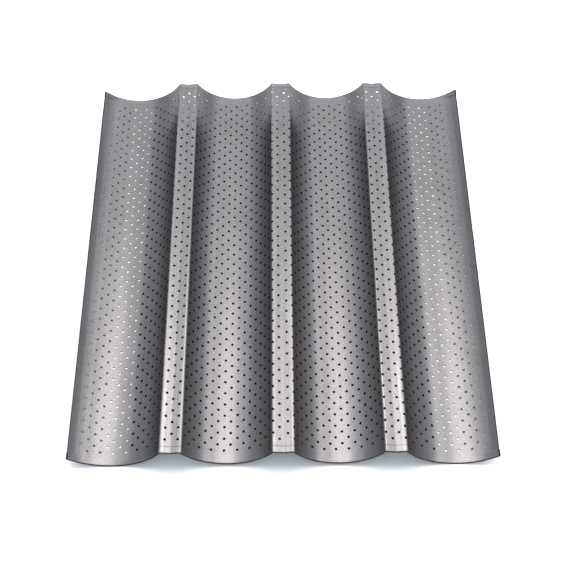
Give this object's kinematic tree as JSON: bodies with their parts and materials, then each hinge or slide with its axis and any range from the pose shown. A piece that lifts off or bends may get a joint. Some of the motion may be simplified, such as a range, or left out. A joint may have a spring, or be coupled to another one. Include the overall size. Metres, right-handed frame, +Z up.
{
  "type": "perforated baguette tray",
  "caption": "Corrugated sheet-steel baking tray with round-bottomed troughs for long loaves, flat grooved ridges between them and a narrow hem folded under along every edge.",
  "frame": {"origin": "on the surface the tray stands on, under the middle of the tray", "axes": "+X across the troughs, +Y along the loaves from the front edge to the back edge, +Z up"},
  "size_m": [0.3328, 0.378, 0.0244],
  "materials": {
    "coated_sheet": "satin silver-grey non-stick coating with a fine metallic grain",
    "coated_hem": "the same satin coating on the folded edges, slightly darker and smoother where it is handled"
  },
  "bodies": {
    "root": {"left_outer_trough": "coated_sheet", "left_inner_trough": "coated_sheet", "right_inner_trough": "coated_sheet", "right_outer_trough": "coated_sheet", "left_ridge": "coated_sheet", "middle_ridge": "coated_sheet", "right_ridge": "coated_sheet", "front_hem": "coated_hem", "back_hem": "coated_hem", "left_side_hem": "coated_hem", "right_side_hem": "coated_hem"}
  },
  "joints": []
}
